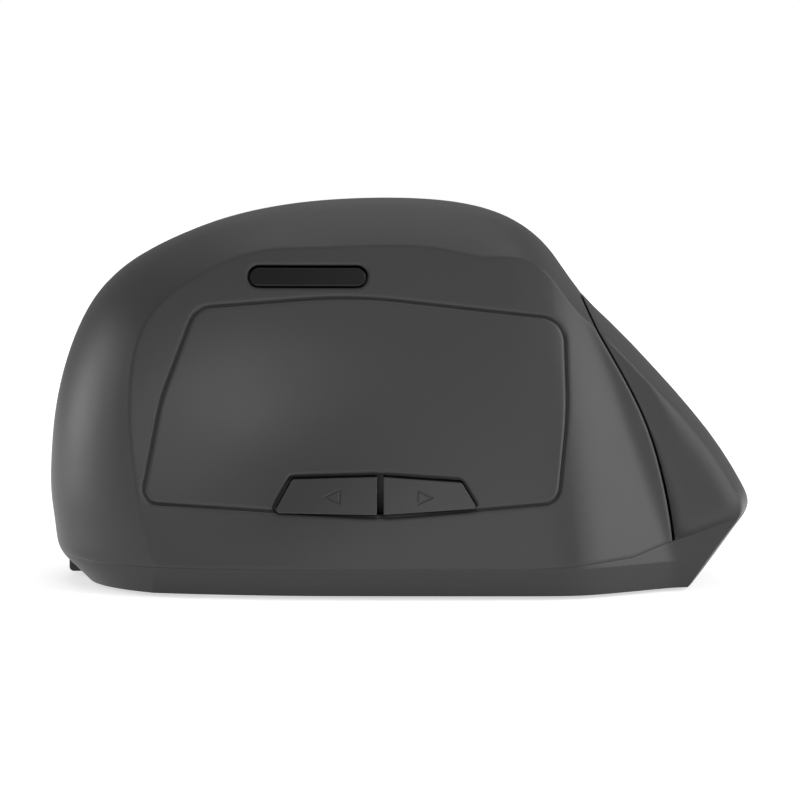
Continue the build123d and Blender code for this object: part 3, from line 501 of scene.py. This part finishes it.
# The boards are glass laminate under a green solder mask, with copper tracks that show through
# as paler lines and tinned pads where leads are soldered.
def board(name, turn):
    """A printed board, whose tracks lie in the plane that the turn brings level."""
    material, tree, output = surface(name)
    place = add(tree, "ShaderNodeTexCoord")
    turned = add(tree, "ShaderNodeMapping", {"Rotation": turn}, Vector=place.outputs["Object"])
    tracks = add(tree, "ShaderNodeTexBrick",
                 {"Scale": 1.0, "Brick Width": 3.4 * mm, "Row Height": 1.1 * mm, "Mortar Size": 0.12 * mm,
                  "Color1": (0.002, 0.018, 0.008, 1), "Color2": (0.002, 0.015, 0.007, 1),
                  "Mortar": (0.010, 0.060, 0.026, 1)}, Vector=turned.outputs[0])
    dots = add(tree, "ShaderNodeTexVoronoi", {"Scale": 320.0, "Randomness": 0.35},
               Vector=turned.outputs[0])
    pads = add(tree, "ShaderNodeMapRange", {"From Min": 0.20, "From Max": 0.17},
               Value=dots.outputs["Distance"])
    shade = add(tree, "ShaderNodeMix", {"data_type": "RGBA", "B": (0.62, 0.60, 0.56, 1)},
                Factor=pads.outputs["Result"], A=tracks.outputs["Color"])
    bump = add(tree, "ShaderNodeBump", {"Distance": 0.02 * mm}, Height=tracks.outputs["Fac"])
    shader = add(tree, "ShaderNodeBsdfPrincipled", {"Roughness": 0.28}, Base_Color=shade.outputs["Result"],
                 Metallic=pads.outputs["Result"], Normal=bump.outputs["Normal"])
    tree.links.new(shader.outputs[0], output.inputs["Surface"])
    return material


finish_nodes(board("main_board_mask", (0, 0, 0)), "main_board")
finish_nodes(board("side_board_mask", (0, math.pi / 2, 0)), "side_board")
finish_nodes(board("key_board_mask", (0, math.radians(-28), 0)), "key_board")


# The switches, encoder, sensor and receiver are small black mouldings, hard and slightly shiny,
# and the switch plungers are red so that an assembler sees them seated.
switch_black = moulded("switch_black", (0.014, 0.014, 0.015), 0.34, edge=0.12 * mm)
finish_nodes(switch_black, "left_switch", "right_switch", "wheel_switch", "forward_switch", "back_switch",
             "dpi_switch", "encoder", "sensor_chip")
inner_black = moulded("inner_black", (0.020, 0.020, 0.021), 0.50, edge=0.3 * mm, depth=0.008 * mm)
finish_nodes(inner_black, "inner_frame")
finish_nodes(moulded("receiver_black", (0.012, 0.012, 0.013), 0.25, edge=0.3 * mm), "receiver")
plunger_red = moulded("plunger_red", (0.42, 0.018, 0.012), 0.35, edge=0.15 * mm)
finish_nodes(plunger_red, "left_plunger", "right_plunger", "wheel_plunger", "forward_plunger",
             "back_plunger", "dpi_plunger")


# The sensor looks at the desk through a clear acrylic lens, polished in its mould and set in
# the base over an opening.
lens, tree, output = surface("clear_acrylic")
place = add(tree, "ShaderNodeTexCoord")
ripple = add(tree, "ShaderNodeTexNoise", {"Scale": 260.0}, Vector=place.outputs["Object"])
rough = add(tree, "ShaderNodeMapRange", {"To Min": 0.02, "To Max": 0.10}, Value=ripple.outputs["Fac"])
shader = add(tree, "ShaderNodeBsdfPrincipled",
             {"Base Color": (0.95, 0.96, 0.97, 1), "Transmission Weight": 1.0, "IOR": 1.49},
             Roughness=rough.outputs["Result"])
tree.links.new(shader.outputs[0], output.inputs["Surface"])
finish_nodes(lens, "sensor_lens")


# The cell is a plain alkaline one in a printed sleeve: dark grey with a pale band at the
# positive end, and bare steel at both ends.
cell, tree, output = surface("cell_sleeve")
place = add(tree, "ShaderNodeTexCoord")
along = add(tree, "ShaderNodeSeparateXYZ", Vector=place.outputs["Object"])
low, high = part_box("battery_cell")
share = add(tree, "ShaderNodeMapRange", {"From Min": low.y, "From Max": high.y}, Value=along.outputs["Y"])
bands = add(tree, "ShaderNodeValToRGB", Fac=share.outputs["Result"])
bands.color_ramp.interpolation = "CONSTANT"
bands.color_ramp.elements[0].color = (0.60, 0.60, 0.60, 1)
bands.color_ramp.elements[1].position = 0.02
bands.color_ramp.elements[1].color = (0.035, 0.037, 0.042, 1)
for position, shade in ((0.76, (0.55, 0.50, 0.40, 1)), (0.955, (0.60, 0.60, 0.60, 1))):
    bands.color_ramp.elements.new(position).color = shade
print_noise = add(tree, "ShaderNodeTexNoise", {"Scale": 900.0}, Vector=place.outputs["Object"])
rough = add(tree, "ShaderNodeMapRange", {"To Min": 0.2, "To Max": 0.36}, Value=print_noise.outputs["Fac"])
shader = add(tree, "ShaderNodeBsdfPrincipled", {"Metallic": 0.5}, Base_Color=bands.outputs["Color"],
             Roughness=rough.outputs["Result"])
tree.links.new(shader.outputs[0], output.inputs["Surface"])
finish_nodes(cell, "battery_cell")


# Three slick feet of pale-flecked grey fluoroplastic are stuck under the base, so that the mouse
# glides on the desk.
feet, tree, output = surface("glide_foot")
place = add(tree, "ShaderNodeTexCoord")
flecks = add(tree, "ShaderNodeTexNoise", {"Scale": 1400.0, "Detail": 4.0}, Vector=place.outputs["Object"])
shade = add(tree, "ShaderNodeValToRGB", Fac=flecks.outputs["Fac"])
shade.color_ramp.elements[0].color = (0.045, 0.045, 0.048, 1)
shade.color_ramp.elements[1].color = (0.11, 0.11, 0.115, 1)
shader = add(tree, "ShaderNodeBsdfPrincipled", {"Roughness": 0.32}, Base_Color=shade.outputs["Color"])
tree.links.new(shader.outputs[0], output.inputs["Surface"])
finish_nodes(feet, "front_foot", "rear_feet")


low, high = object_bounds()
bpy.context.scene.view_settings.view_transform = "Standard"
